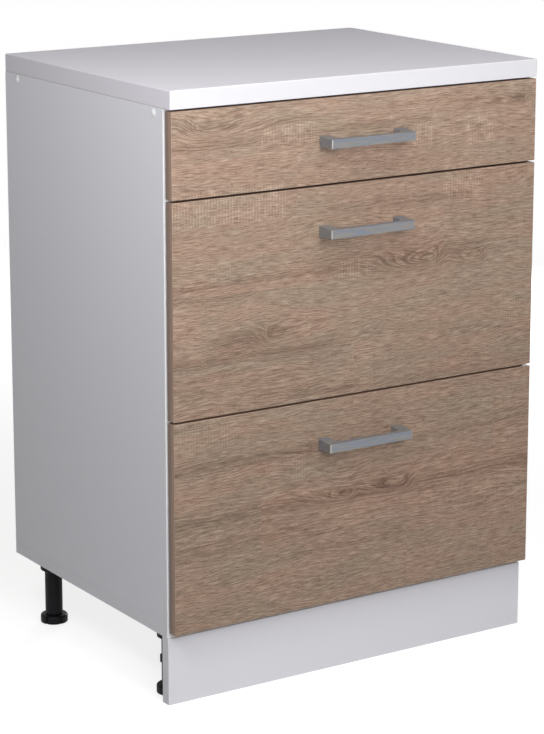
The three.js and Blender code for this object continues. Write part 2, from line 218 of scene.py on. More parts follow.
class Recipe(Graph):
    """A material and the nodes that make it."""

    def __init__(self, name):
        self.material = bpy.data.materials.new(name)
        self.material.use_nodes = True
        super().__init__(self.material.node_tree)
        self.tree.nodes.clear()

    def coordinates(self):
        """X, Y and Z on the object, in millimetres."""
        place = self.add("ShaderNodeTexCoord", output="Object")
        split = self.add("ShaderNodeSeparateXYZ", inputs={"Vector": place}).socket.node
        return [Value(self, split.outputs[axis]) / MM for axis in "XYZ"]

    def noise(self, x, y, z, detail=2.0, roughness=0.5):
        """Soft noise from 0 to 1, for a point whose unit is the size of its lumps."""
        inputs = {
            "Vector": self.vector(x, y, z),
            "Scale": 1.0,
            "Detail": detail,
            "Roughness": roughness,
        }
        return self.add("ShaderNodeTexNoise", inputs=inputs)

    def ramp(self, value, stops):
        """A colour for each value; the stops are (value, colour)."""
        return self.add("ShaderNodeValToRGB", {"stops": stops}, {"Fac": value})

    def step(self, value, low, high):
        """0 at low, 1 at high, and smooth between them."""
        inputs = {"Value": value, "From Min": low, "From Max": high}
        return self.add("ShaderNodeMapRange", {"interpolation_type": "SMOOTHSTEP"}, inputs)

    def between(self, value, ends, soft):
        """1 between two ends and 0 outside; each end is soft over this far to both sides."""
        low, high = ends
        rise = self.step(value, low - soft, low + soft)
        return rise * (1.0 - self.step(value, high - soft, high + soft))

    def ridge(self, value, middle, half_width):
        """A bell shape: 1 in the middle, and about a third a half width away."""
        across = (value - middle) / half_width
        return self.math("EXPONENT", across * across * -1.0)

    def mix(self, share, first, second):
        """Two colours mixed. Sockets 0, 6 and 7 are the colour mode's factor, A and B."""
        inputs = {0: share, 6: first, 7: second}
        return self.add("ShaderNodeMix", {"data_type": "RGBA"}, inputs, output=2)

    def relief(self, height, depth_mm, strength):
        """A normal for a relief of this depth; height goes from 0 to 1."""
        inputs = {"Height": height, "Distance": depth_mm * MM, "Strength": strength}
        return self.add("ShaderNodeBump", inputs=inputs)

    @staticmethod
    def around(average, noise, spread):
        """A value that varies by this spread round its average."""
        return noise * spread + (average - spread / 2)

    def finish(self, **inputs):
        """The surface itself. A socket's name is written with _ for a space."""
        named = {name.replace("_", " "): value for name, value in inputs.items()}
        surface = self.add("ShaderNodeBsdfPrincipled", inputs=named)
        self.add("ShaderNodeOutputMaterial", inputs={"Surface": surface})
        print("material", self.material.name, "of", len(self.tree.nodes), "nodes")
        return self.material


def color(red, green, blue):
    """A colour as it looks on a screen, 0 to 255, in the linear light that shaders use."""

    def linear(value):
        level = value / 255
        return level / 12.92 if level <= 0.04045 else ((level + 0.055) / 1.055) ** 2.4

    return (linear(red), linear(green), linear(blue))


def opaque(rgb):
    return (*rgb, 1.0)


print("white paint reflects", round(color(230, 230, 230)[0], 2), "of the light")

# %% [markdown]
# ## Coated boards
# Kitchen boards are chipboard with a printed melamine coating. White melamine isn't a mirror:
# it has a very fine relief, so a lamp's reflection in it is broad and soft. The relief is too
# small to model and goes into the normal. Saw cuts that nobody sees are left raw, and there the
# chips show.

# %% White coating and raw chipboard
CLOUD_MM = 90.0
CLOUD_SHADE = 0.965
CHIPS_PER_MM = 0.35
CHIP_LAYERS_PER_MM = 0.6
DUST_PER_MM = 1.5


def coated_board(name, rgb, roughness, relief_mm, grain=(0.9, 0.9, 0.9), mirror=0.5):
    """A coating with a fine relief; grain gives the lumps per millimetre along each axis."""
    recipe = Recipe(name)
    x, y, z = recipe.coordinates()
    fine = recipe.noise(x * grain[0], y * grain[1], z * grain[2], detail=3.0)
    cloud = recipe.noise(x / CLOUD_MM, y / CLOUD_MM, z / CLOUD_MM)
    darker = opaque([c * CLOUD_SHADE for c in rgb])
    return recipe.finish(
        Base_Color=recipe.mix(fine * 0.5 + cloud * 0.5, darker, opaque(rgb)),
        Roughness=recipe.around(roughness, fine, 0.1),
        Specular_IOR_Level=mirror,
        Normal=recipe.relief(fine, relief_mm, 0.6),
    )


def raw_chipboard():
    recipe = Recipe("raw_chipboard")
    x, y, z = recipe.coordinates()
    place = recipe.vector(x * CHIPS_PER_MM, y * CHIPS_PER_MM, z * CHIP_LAYERS_PER_MM)
    inputs = {"Vector": place, "Scale": 1.0}
    chips = recipe.add("ShaderNodeTexVoronoi", {"feature": "F1"}, inputs, output="Color")
    tone = recipe.add("ShaderNodeSeparateColor", inputs={"Color": chips})
    fine = recipe.noise(x * DUST_PER_MM, y * DUST_PER_MM, z * DUST_PER_MM, detail=3.0)
    mixed = tone * 0.6 + fine * 0.4
    shade = recipe.ramp(mixed, [
        (0.1, color(126, 98, 70)),
        (0.5, color(176, 146, 112)),
        (0.9, color(205, 180, 146)),
    ])
    return recipe.finish(Base_Color=shade, Roughness=0.85, Normal=recipe.relief(mixed, 0.3, 0.6))


WHITE = color(229, 228, 234)
LAMINATE_WHITE = color(229, 225, 233)
EDGE_WHITE = color(226, 225, 229)
STRIP_WHITE = color(246, 246, 247)
white_board = coated_board("white_board", WHITE, 0.42, 0.02)
worktop_laminate = coated_board("worktop_laminate", LAMINATE_WHITE, 0.4, 0.03, mirror=0.12)
worktop_edge = coated_board("worktop_edge", EDGE_WHITE, 0.32, 0.03, grain=(0.06, 0.06, 1.1))
edge_strip = coated_board("white_edge_strip", STRIP_WHITE, 0.3, 0.01)
chipboard = raw_chipboard()

# %% [markdown]
# ## Sawn oak decor: the boards
# The fronts carry a printed decor of sawn oak. It looks like floorboards 91 mm high laid across
# the front, end to end, and each board was a little pinker or greyer. The rows go on over all
# three fronts, because the fronts are cut from one printed sheet. A row's number and a board's
# number in its row give each board its own chance value, and the rest of the decor is built on
# that.

# %% Boards of the decor
DECOR_BOARD_HEIGHT = 91.0
DECOR_BOARD_LENGTH = 640.0
DECOR_FIRST_JOINT = 16.0
FIRST_STAGGER = 0.489
ROW_STAGGER = 0.382


def decor_boards(recipe, x, z):
    """A chance value from 0 to 1 for the printed board that a point lies on."""
    row = recipe.math("FLOOR", (z - DECOR_FIRST_JOINT) / DECOR_BOARD_HEIGHT)
    stagger = recipe.math("FRACT", row * ROW_STAGGER + FIRST_STAGGER)
    number = recipe.math("FLOOR", (x + stagger * DECOR_BOARD_LENGTH) / DECOR_BOARD_LENGTH)
    inputs = {"Vector": recipe.vector(row, number, 0.0)}
    return recipe.add("ShaderNodeTexWhiteNoise", {"noise_dimensions": "2D"}, inputs)


# %% [markdown]
# ## Sawn oak decor: the figure
# Where a saw cuts through a trunk, the annual rings show as lines along the board, and where it
# cuts a ring at a shallow angle they show as nested arches. A height map explains both: the
# lines are its contours. An even slope gives straight lines, and a hill on the slope gives
# arches, as on a hiker's map. Each `arch` is such a hill, with a blunt tip on one side and a
# long tail on the other. Where the contours crowd together the decor is darker, and
# `dark_grain` is such a band. All distances are in millimetres from a front's left and top
# edge.

# %% Arches in the figure
FRONT_TOP_Z = {"bottom": 396.8, "middle": 693.3, "top": 812.3}
LEFT_EDGE_X = -300.0
BLUNT_TIP = 2.2
SOFT_GRAIN_END = 30.0


def arch(recipe, x, z, front, tip_from_left, below_top, tail, half_height, lift):
    """A hill. A tail of less than 0 goes to the left."""
    inward = (x - (LEFT_EDGE_X + tip_from_left)) * math.copysign(1.0, tail)
    blunt = recipe.step(inward, 0.0, half_height * BLUNT_TIP)
    fading = 1.0 - recipe.step(inward, 0.0, abs(tail))
    ridge = recipe.ridge(z, FRONT_TOP_Z[front] - below_top, half_height)
    return ridge * blunt * fading * lift


ARCHES = [
    ("top", 4, 30, 230, 17, 30),
    ("top", 590, 31, -150, 8, 20),
    ("middle", 118, 200, 200, 19, 40),
    ("middle", 450, 122, -190, 15, 36),
    ("middle", 520, 126, -90, 10, 24),
    ("bottom", 400, 140, -170, 13, 34),
    ("bottom", 300, 142, -110, 10, 22),
    ("bottom", 215, 92, -60, 12, 14),
]


def dark_grain(recipe, x, z, front, left, right, below_top, half_height, strength):
    """A soft dark band along the grain."""
    ends = (LEFT_EDGE_X + left, LEFT_EDGE_X + right)
    ridge = recipe.ridge(z, FRONT_TOP_Z[front] - below_top, half_height)
    return ridge * recipe.between(x, ends, SOFT_GRAIN_END) * strength


DARK_GRAIN = [
    ("top", -60, 215, 26, 4, 0.6),
    ("top", -60, 225, 49, 6, 0.7),
    ("top", 215, 400, 44, 6, 0.7),
    ("top", 440, 660, 24, 7, 0.5),
    ("middle", 240, 480, 33, 7, 0.5),
    ("middle", -60, 260, 116, 4, 0.9),
    ("middle", -60, 120, 134, 7, 0.5),
    ("middle", 230, 520, 112, 16, 0.7),
    ("middle", 70, 150, 196, 14, 0.9),
    ("middle", -60, 250, 218, 5, 0.9),
    ("middle", 180, 600, 284, 5, 0.4),
    ("bottom", -60, 250, 66, 8, 0.9),
    ("bottom", 380, 660, 74, 4, 0.5),
    ("bottom", -60, 660, 140, 9, 0.9),
    ("bottom", -60, 240, 176, 14, 0.35),
    ("bottom", 180, 420, 212, 4, 0.4),
]
print("arches:", len(ARCHES), "dark bands:", len(DARK_GRAIN))

# %% [markdown]
# ## Sawn oak decor: saw marks
# Sawn oak keeps the marks of the saw blade: patches of fine upright lines that stand about 4.6
# mm apart. A patch is a rectangle with soft edges, and the lines are a sine wave along the
# board.

# %% Saw marks
SAW_PITCH = 4.6
SOFT_PATCH_EDGE = 4.0


def saw_marks(recipe, x, z, front, left, right, upper, lower, strength):
    """A patch of saw marks."""
    sides = (LEFT_EDGE_X + left, LEFT_EDGE_X + right)
    ends = (FRONT_TOP_Z[front] - lower, FRONT_TOP_Z[front] - upper)
    along = recipe.between(x, sides, SOFT_PATCH_EDGE)
    return along * recipe.between(z, ends, SOFT_PATCH_EDGE) * strength


SAW_PATCHES = [
    ("top", 135, 225, 28, 56, 0.9),
    ("top", 385, 420, 46, 78, 0.8),
    ("top", 478, 525, 38, 84, 0.7),
    ("middle", -10, 178, -10, 36, 1.0),
    ("middle", 440, 500, -10, 38, 0.9),
    ("middle", 262, 318, 104, 132, 0.8),
    ("middle", 55, 95, 84, 116, 0.5),
    ("middle", 540, 600, 180, 226, 0.5),
    ("middle", 285, 345, 222, 296, 0.35),
    ("bottom", -10, 100, -10, 46, 0.5),
    ("bottom", 178, 212, 70, 104, 0.5),
    ("bottom", 505, 600, 8, 52, 0.4),
    ("bottom", 440, 600, 150, 250, 0.35),
    ("bottom", 225, 245, 205, 260, 0.4),
]
print("patches of saw marks:", len(SAW_PATCHES))

# %% [markdown]
# ## Sawn oak decor: the colours
# Three things give the colour of a point. The fibres are short dashes that follow the figure,
# the late wood of each ring is a darker line, and the saw marks are paler. They move one tone
# up and down, and the tone is read off a warm and a grey scale, mixed by how pink the printed
# board is there. The tone is also painted paler towards the top of the fronts: painted light,
# which stands in for the lamps lighting the fronts more at the top.

# %% Oak materials
WARM_OAK = [
    (0.0, color(84, 60, 47)),
    (0.35, color(134, 107, 90)),
    (0.55, color(164, 136, 118)),
    (0.8, color(195, 170, 152)),
    (1.0, color(218, 198, 182)),
]
GREY_OAK = [
    (0.0, color(76, 61, 48)),
    (0.35, color(126, 107, 90)),
    (0.55, color(154, 134, 116)),
    (0.8, color(186, 168, 150)),
    (1.0, color(211, 197, 181)),
]

# Length along the board and thickness across it, in millimetres.
WAVES = (170, 60)
FIBRES = (19, 1.35)
STREAKS = (140, 5)
PORES = (7, 1.2)
RINGS = (260, 2.5)
SAW_GAPS = (7, 12)
TINTS = (150, 34)

WAVE_HEIGHT = 26.0
FIBRES_FOLLOW_HILLS = 0.45
BASE_TONE = 0.46
# Painted light: the tone is raised towards the top of the middle and top fronts.
PAINTED_LIGHT_UPWARD = ((400.0, 560.0, 0.05), (690.0, 780.0, 0.045))
FIBRE_TONE = 0.95
STREAK_TONE = 0.2
PORE_TONE = 0.18
RING_TONE = 0.17
DARK_TONE = 0.11
SAW_TONE = 0.17


def dashes(recipe, along, across, size, chance, detail=1.0, roughness=0.5):
    """Noise whose lumps have this length and thickness; chance makes it another noise."""
    length, thickness = size
    return recipe.noise(along / length, across / thickness, chance, detail, roughness)


def total(parts):
    """The sum of Values."""
    result = 0.0
    for part in parts:
        result = part + result
    return result


def oak_decor():
    recipe = Recipe("oak_decor")
    x, _, z = recipe.coordinates()
    board = decor_boards(recipe, x, z)
    own = board * 700.0
    slope = z + (dashes(recipe, x, z, WAVES, board * 40.0) - 0.5) * WAVE_HEIGHT
    hills = total(arch(recipe, x, z, *row) for row in ARCHES)
    dark = total(dark_grain(recipe, x, z, *row) for row in DARK_GRAIN)
    saw = total(saw_marks(recipe, x, z, *row) for row in SAW_PATCHES)

    grain = slope + hills * FIBRES_FOLLOW_HILLS
    fibre = dashes(recipe, x, grain, FIBRES, own, detail=2.0, roughness=0.55)
    streak = dashes(recipe, x, grain, STREAKS, own + 5.0)
    pores = recipe.step(dashes(recipe, x, grain, PORES, own + 3.0), 0.58, 0.72)
    rings = recipe.step(dashes(recipe, x, slope + hills, RINGS, own), 0.45, 0.62)
    figure = recipe.step(hills, 1.0, 9.0) * 0.5 + dark * (0.35 + rings * 0.65)
    teeth = recipe.math("SINE", x * (2 * math.pi / SAW_PITCH)) * 0.5 + 0.5
    uneven = recipe.step(dashes(recipe, x, z, SAW_GAPS, 5.0, detail=2.0), 0.36, 0.6)

    # Painted light: paler towards the top of the fronts.
    painted_light_up = total(recipe.step(z, low, high) * paler for low, high, paler in PAINTED_LIGHT_UPWARD)
    tone = BASE_TONE + painted_light_up + (fibre - 0.5) * FIBRE_TONE + (streak - 0.5) * STREAK_TONE
    tone = tone - pores * PORE_TONE - figure * rings * RING_TONE - dark * DARK_TONE
    tone = tone + saw * teeth * uneven * SAW_TONE
    greyness = dashes(recipe, x, z, TINTS, own, detail=2.0) + (board - 0.5) * 0.16
    warm, grey = recipe.ramp(tone, WARM_OAK), recipe.ramp(tone, GREY_OAK)
    return recipe.finish(
        Base_Color=recipe.mix(recipe.step(greyness, 0.28, 0.72), warm, grey),
        Roughness=0.62 - tone * 0.12,
        Normal=recipe.relief(fibre, 0.15, 0.4),
    )


STRIP_MIDDLE_Y = -207.0
STRIP_HIGHLIGHT_Y = -214.8
STRIP_TONE = 0.44
# Painted shade: the rear half of the edge strip, towards the carcass, is darker and greyer.
STRIP_REAR_SHADE = color(120, 102, 92)


def oak_edge():
    """The strip on a front's narrow edges: lines along it, painted shade behind, a painted
    highlight at the corner.
    """
    recipe = Recipe("oak_edge_strip")
    x, y, z = recipe.coordinates()
    fibre = recipe.noise(x / 60, y / 0.9, z / 60, detail=2.0)
    band = recipe.noise(x / 200, y / 4.5, z / 200)
    # Painted highlight: the tone is raised along the corner with the face.
    corner = recipe.step(y, STRIP_HIGHLIGHT_Y + 0.4, STRIP_HIGHLIGHT_Y)
    tone = STRIP_TONE + (fibre - 0.5) * 0.5 + (band - 0.5) * 0.3 + corner * 0.3
    # Painted shade on the rear half of the strip.
    rear = recipe.step(y, STRIP_MIDDLE_Y - 2.0, STRIP_MIDDLE_Y + 2.0)
    shade = recipe.mix(rear * 0.8, recipe.ramp(tone, WARM_OAK), opaque(STRIP_REAR_SHADE))
    return recipe.finish(Base_Color=shade, Roughness=0.55, Normal=recipe.relief(fibre, 0.08, 0.5))


oak = oak_decor()
oak_strip = oak_edge()

# %% [markdown]
# ## Metal, plastic and hardboard
# The handles are cast metal with satin metallic paint, which shows long faint streaks along the
# bar. The drawer sides and the runners are steel with a baked white powder coat, whose skin is
# slightly uneven, like an orange's. The legs are moulded in black plastic with a fine
# spark-eroded texture.

# %% Metal and plastic
FINE_RELIEF_MM = 0.02
ROUGHNESS_SPREAD = 0.16
PRESS_PER_MM = 3.1


def plain_finish(name, rgb, roughness, metallic=0.0, lumps_per_mm=1.2, mirror=0.5):
    """A finish of one colour with a fine relief."""
    recipe = Recipe(name)
    fine = recipe.noise(*[place * lumps_per_mm for place in recipe.coordinates()], detail=3.0)
    shade = recipe.mix(fine, opaque([c * 0.88 for c in rgb]), opaque([c * 1.06 for c in rgb]))
    return recipe.finish(
        Base_Color=shade,
        Roughness=recipe.around(roughness, fine, ROUGHNESS_SPREAD),
        Metallic=metallic,
        Specular_IOR_Level=mirror,
        Normal=recipe.relief(fine, FINE_RELIEF_MM, 0.5),
    )


def brushed_grey():
    """Satin metallic paint on a brushed bar: long thin streaks, some bluer and some browner."""
    recipe = Recipe("handle_grey")
    x, y, z = recipe.coordinates()
    brush = recipe.noise(x / 16, y * 0.9, z * 0.9, detail=3.0)
    tint = recipe.noise(x / 38, y / 6, z / 3.5, detail=1.0)
    cool = recipe.mix(brush, opaque(color(112, 118, 128)), opaque(color(138, 144, 154)))
    warm = recipe.mix(brush, opaque(color(126, 123, 121)), opaque(color(152, 149, 146)))
    return recipe.finish(
        Base_Color=recipe.mix(recipe.step(tint, 0.35, 0.65), cool, warm),
        Roughness=recipe.around(0.42, brush, ROUGHNESS_SPREAD),
        Metallic=0.4,
        Normal=recipe.relief(brush, FINE_RELIEF_MM, 0.5),
    )


handle_metal = brushed_grey()
# Painted highlight: a paler, fully metallic finish for the handles' upright edges.
handle_highlight = plain_finish("handle_bright_edge", color(164, 164, 160), 0.36, 1.0)
white_steel = plain_finish("white_steel", color(229, 229, 227), 0.32, lumps_per_mm=0.7)
black_plastic = plain_finish(
    "black_plastic", color(15, 13, 17), 0.5, lumps_per_mm=2.0, mirror=0.15
)
roller_plastic = plain_finish("roller_plastic", color(212, 211, 205), 0.5)
white_plastic = plain_finish("white_plastic", color(240, 240, 241), 0.28, lumps_per_mm=0.5)
zinc = plain_finish("zinc_plate", color(196, 196, 192), 0.3, 1.0, lumps_per_mm=0.9)


def brown_hardboard():
    """The bare side of hardboard: brown fibre pressed against a mesh."""
    recipe = Recipe("brown_hardboard")
    x, y, z = recipe.coordinates()
    fluff = recipe.noise(x / 9, y / 9, z / 9, detail=4.0, roughness=0.7)
    across, up = (recipe.math("SINE", place * PRESS_PER_MM) for place in (x, z))
    press = across * up * 0.5 + 0.5
    shade = recipe.ramp(fluff * 0.85 + press * 0.15, [
        (0.2, color(96, 66, 42)),
        (0.5, color(132, 97, 66)),
        (0.8, color(158, 124, 90)),
    ])
    return recipe.finish(Base_Color=shade, Roughness=0.8, Normal=recipe.relief(press, 0.15, 0.7))


hardboard_back = brown_hardboard()

# %% [markdown]
# ## Softened edges
# No real board has a perfectly sharp edge. A round of half a millimetre to a millimetre and a
# half catches the light as a thin bright line, and that line is most of what makes a board look
# real. A copy of the solid is merged, its flat faces are made whole again, and its sharp edges
# are bevelled.

# %% Copies of the solids with soft edges
FLAT_ENOUGH = math.radians(1)
SHARP_EDGE = math.radians(35)


def merged_copy(node):
    """The solid's surface as one closed mesh with whole flat faces."""
    bm = bmesh.new()
    bm.from_mesh(frame["nodes"][node].data)
    bmesh.ops.remove_doubles(bm, verts=bm.verts, dist=0.002 * MM)
    bmesh.ops.dissolve_limit(bm, angle_limit=FLAT_ENOUGH, verts=bm.verts, edges=bm.edges)
    return bm


def bevel(bm, edges, radius_mm, segments, clamp=True):
    bmesh.ops.bevel(
        bm, geom=edges, offset=radius_mm * MM, segments=segments, profile=0.5,
        affect="EDGES", clamp_overlap=clamp,
    )


def round_sharp_edges(bm, radius_mm, segments, which=lambda edge: True):
    sharp = [e for e in bm.edges if e.is_manifold and e.calc_face_angle(0.0) > SHARP_EDGE]
    bevel(bm, [e for e in sharp if which(e)], radius_mm, segments)


def shade_softly(piece):
    """Smooth between real corners. Big faces win over narrow ones, so boards stay flat."""
    mesh = piece.data
    mesh.shade_smooth()
    mesh.set_sharp_from_angle(angle=SHARP_EDGE)
    piece.modifiers.new("big faces win", "WEIGHTED_NORMAL").keep_sharp = True


def finished(bm, node, materials, choose=lambda face: 0):
    """The piece that stands for a solid and rides on the solid's body."""
    for face in bm.faces:
        face.material_index = choose(face)
    name = node + "_finished"
    mesh = bpy.data.meshes.new(name)
    bm.to_mesh(mesh)
    bm.free()
    for material in materials:
        mesh.materials.append(material)
    piece = add_object(name, mesh)
    shade_softly(piece)
    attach(piece, body_of(frame["nodes"][node])[0])
    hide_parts(node)
    print(name, "of", len(mesh.polygons), "faces")


def soft_piece(node, materials, radius_mm=0.5, segments=3, choose=lambda face: 0):
    bm = merged_copy(node)
    round_sharp_edges(bm, radius_mm, segments)
    finished(bm, node, materials, choose)


# %% [markdown]
# ## The carcass
# The side, bottom and rail boards are white outside and inside. Their front edges have a thin
# strip that is whiter still. The rear edges are against a wall and stay raw, and so do the ends
# under the worktop.

# %% Carcass boards
BOARD_FINISHES = [white_board, chipboard, edge_strip]
SQUARE = 0.99


def raw_at_the_back(face):
    return 1 if face.normal.y > SQUARE else 0


def board_faces(face):
    """Raw at the rear, a strip at the front, and coating on the rest."""
    return 2 if face.normal.y < -0.3 else raw_at_the_back(face)


def side_faces(face):
    return 1 if face.normal.z > SQUARE else board_faces(face)


for hand in HANDS:
    soft_piece(f"side_{hand}", BOARD_FINISHES, 0.4, choose=side_faces)
for node in ("bottom_panel", "top_rail_front", "top_rail_rear"):
    soft_piece(node, BOARD_FINISHES, 0.4, choose=board_faces)
soft_piece(
    "back_panel", [white_board, hardboard_back], 0.3, 2, choose=raw_at_the_back
)

# %% [markdown]
# ## The worktop
# The worktop is thicker chipboard. Laminate covers its top and its ends, and a whiter strip its
# front edge. Its upper edges are rounded more than a board's, because hands rub along them.

# %% Worktop
WORKTOP_FINISHES = [worktop_laminate, chipboard, worktop_edge]
UPPER_ROUNDING = 1.6
LOWER_ROUNDING = 0.4


def worktop_faces(face):
    """Raw at the rear, the bright strip in front, and laminate on the rest."""
    return 2 if face.normal.y < -0.6 else raw_at_the_back(face)


def underneath(edge):
    return all(vert.co.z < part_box("worktop")[0].z + 0.1 * MM for vert in edge.verts)


bm = merged_copy("worktop")
round_sharp_edges(bm, UPPER_ROUNDING, 5, lambda edge: not underneath(edge))
round_sharp_edges(bm, LOWER_ROUNDING, 3, underneath)
finished(bm, "worktop", WORKTOP_FINISHES, worktop_faces)

# %% [markdown]
# ## Turned pieces
# Screw covers, legs and rollers are round, and their solids have flat facets. A finished one is
# turned like on a lathe: a profile of radius and height, with its corners rounded, goes round
# an axis in many small steps. The profile starts and ends on the axis, so the surface is
# closed.

# %% A small lathe


def round_corners(points, radius, steps=3):
    """The same profile with an arc of this radius at each corner away from the axis."""
    rounded = [points[0]]
    for before, corner, after in zip(points, points[1:], points[2:]):
        to_before = Vector(before) - Vector(corner)
        to_after = Vector(after) - Vector(corner)
        reach = min(radius, to_before.length * 0.45, to_after.length * 0.45)
        start = Vector(corner) + to_before.normalized() * reach
        end = Vector(corner) + to_after.normalized() * reach
        for i in range(steps + 1):
            t = i / steps
            point = start.lerp(Vector(corner), t).lerp(Vector(corner).lerp(end, t), t)
            rounded.append((point.x, point.y))
    rounded.append(points[-1])
    return rounded


def turn(bm, profile, sides, place):
    """Adds a turned surface. Profile points are (radius, height) in mm; place moves it."""
    rings = []
    for radius, height in profile:
        if radius < 1e-6:
            rings.append([bm.verts.new(place @ Vector((0, 0, height * MM)))])
            continue
        ring = []
        for i in range(sides):
            angle = 2 * math.pi * i / sides
            spot = Vector((radius * math.cos(angle), radius * math.sin(angle), height)) * MM
            ring.append(bm.verts.new(place @ spot))
        rings.append(ring)
    made = []
    for low, high in zip(rings, rings[1:]):
        for i in range(sides):
            j = (i + 1) % sides
            below = [low[i % len(low)], low[j % len(low)]]
            above = [high[j % len(high)], high[i % len(high)]]
            unique = list(dict.fromkeys(below + above))
            if len(unique) > 2:
                made.append(bm.faces.new(unique))
    bmesh.ops.recalc_face_normals(bm, faces=made)


def middle(node):
    low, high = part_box(node)
    return (low + high) / 2


ALONG_X = Matrix.Rotation(math.radians(90), 4, "Y")


# %% [markdown]
# ## Screw covers
# Two white caps on each side hide the heads of the screws that hold the top rails. A cap is a
# shallow dome, and being glossy it shows as a small white spot on the grey side.

# %% Screw covers
COVER_ROUND = 48
COVER_ARCS = 8
COVER_LIP = 0.2
COVER_PEG_LENGTH = 5.0
COVER_PEG_RADIUS = 2.4
SIDE_FACE_X = 0.3


def screw_cover(node):
    low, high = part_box(node)
    outward = -1 if low.x < 0 else 1
    rim = (high.y - low.y) / 2 / MM
    dome = (high.x - low.x) / MM - COVER_PEG_LENGTH
    shoulder = 2 * COVER_LIP
    profile = [(0, -COVER_PEG_LENGTH), (COVER_PEG_RADIUS, -COVER_PEG_LENGTH)]
    profile += [(COVER_PEG_RADIUS, COVER_LIP), (rim, COVER_LIP), (rim, shoulder)]
    for i in range(1, COVER_ARCS):
        radius = rim * (1 - i / COVER_ARCS)
        profile.append((radius, shoulder + (dome - shoulder) * (1 - (radius / rim) ** 2)))
    profile.append((0, dome))
    spot = Vector((outward * SIDE_FACE_X, middle(node).y, middle(node).z))
    place = Matrix.Translation(spot) @ (ALONG_X if outward > 0 else ALONG_X.inverted())
    bm = bmesh.new()
    turn(bm, profile, COVER_ROUND, place)
    finished(bm, node, [white_plastic])


for corner in CORNERS:
    screw_cover(f"screw_cover_{corner}")

# %% [markdown]
# ## Geometry Nodes
# Geometry Nodes suit what repeats. `Workshop` is a graph with one mesh in, named sizes, and one
# mesh out. `run` puts the graph on a mesh as a modifier, sets the sizes by their socket
# identifiers, and takes the result out as a plain mesh, so no modifier is left.

# %% A workshop for Geometry Nodes


class Workshop(Graph):
    """A Geometry Nodes tree: a mesh and named sizes, in metres or counts, in; a mesh out."""

    def __init__(self, name, sizes):
        super().__init__(bpy.data.node_groups.new(name, "GeometryNodeTree"))
        face = self.tree.interface
        face.new_socket("Geometry", in_out="INPUT", socket_type="NodeSocketGeometry")
        self.identifiers = {}
        for size, kind in sizes.items():
            socket = face.new_socket(size, in_out="INPUT", socket_type="NodeSocket" + kind)
            self.identifiers[size] = socket.identifier
        face.new_socket("Geometry", in_out="OUTPUT", socket_type="NodeSocketGeometry")
        entry = self.tree.nodes.new("NodeGroupInput")
        self.given = {socket.name: Value(self, socket) for socket in entry.outputs if socket.name}

    def finish(self, geometry, material):
        real = self.add("GeometryNodeRealizeInstances", inputs={"Geometry": geometry})
        painted = self.add(
            "GeometryNodeSetMaterial", inputs={"Geometry": real, "Material": material}
        )
        self.add("NodeGroupOutput", inputs={"Geometry": painted})
        print("tree", self.tree.name, "of", len(self.tree.nodes), "nodes")

    def run(self, mesh, sizes):
        source = add_object(mesh.name + "_source", mesh)
        modifier = source.modifiers.new("workshop", "NODES")
        modifier.node_group = self.tree
        for size, value in sizes.items():
            modifier[self.identifiers[size]] = value
        evaluated = source.evaluated_get(bpy.context.evaluated_depsgraph_get())
        result = bpy.data.meshes.new_from_object(evaluated)
        source.modifiers.remove(modifier)
        bpy.data.objects.remove(source)
        return result


# %% [markdown]
# ## Legs
# A leg is a square plate that is screwed under the cabinet, with a hub and a column. The column
# is hollow, and the foot's stem screws into it from below.

# %% Legs
LEG_ROUND = 64
COLUMN_RADIUS = 12.75
HUB_RADIUS = 19.0
HUB_HEIGHT = 9.5
HUB_TAPER = 4.0
PLATE_THICKNESS = 2.5
STEM_BORE_RADIUS = 7.8
STEM_BORE_DEPTH = 36.3
LEG_ROUNDING = 0.8
PLATE_CORNER = 4.0


def leg(node):
    low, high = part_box(node)
    spot = middle(node)
    width = high.x - low.x
    plate_low = high.z / MM - PLATE_THICKNESS
    column_low = low.z / MM
    profile = round_corners([
        (0, column_low + STEM_BORE_DEPTH),
        (STEM_BORE_RADIUS, column_low + STEM_BORE_DEPTH),
        (STEM_BORE_RADIUS, column_low),
        (COLUMN_RADIUS, column_low),
        (COLUMN_RADIUS, plate_low - HUB_HEIGHT - HUB_TAPER),
        (HUB_RADIUS, plate_low - HUB_HEIGHT),
        (HUB_RADIUS, plate_low),
        (0, plate_low),
    ], LEG_ROUNDING)
    bm = bmesh.new()
    turn(bm, profile, LEG_ROUND, Matrix.Translation(Vector((spot.x, spot.y, 0))))
    plate = bmesh.ops.create_cube(bm, size=1.0)["verts"]
    size = Vector((width, width, PLATE_THICKNESS * MM))
    at = Matrix.Translation(Vector((spot.x, spot.y, high.z - size.z / 2)))
    bmesh.ops.transform(bm, verts=plate, matrix=at @ Matrix.Diagonal((*size, 1.0)))
    uprights = [
        e for e in bm.edges
        if all(v in plate for v in e.verts) and abs(e.verts[0].co.z - e.verts[1].co.z) > MM
    ]
    bevel(bm, uprights, PLATE_CORNER, 6, clamp=False)
    finished(bm, node, [black_plastic])


for corner in CORNERS:
    leg(f"leg_{corner}")

# %% [markdown]
# ## Screw feet
# A foot's grip is a thick round disc with six notches, so that fingers can turn it. The disc is
# turned on the lathe, and the notches repeat round it, so Geometry Nodes cut them: a small
# cylinder stands on each point of a circle, and a boolean takes all six out of the disc.

# %% Notched grips
FOOT_RADIUS = 20.0
FOOT_HEIGHT = 13.5
FOOT_SHOULDER = 1.8
FOOT_PAD_RADIUS = 15.0
FOOT_PAD_HEIGHT = 1.5
FOOT_STEM_RADIUS = 7.5
FOOT_NOTCHES = 6
NOTCH_RADIUS = 1.9
NOTCH_DEPTH = 3.0
FOOT_ROUNDING = 1.2
CUTTER_SIDES = 16
CUTTER_LENGTH = 60.0


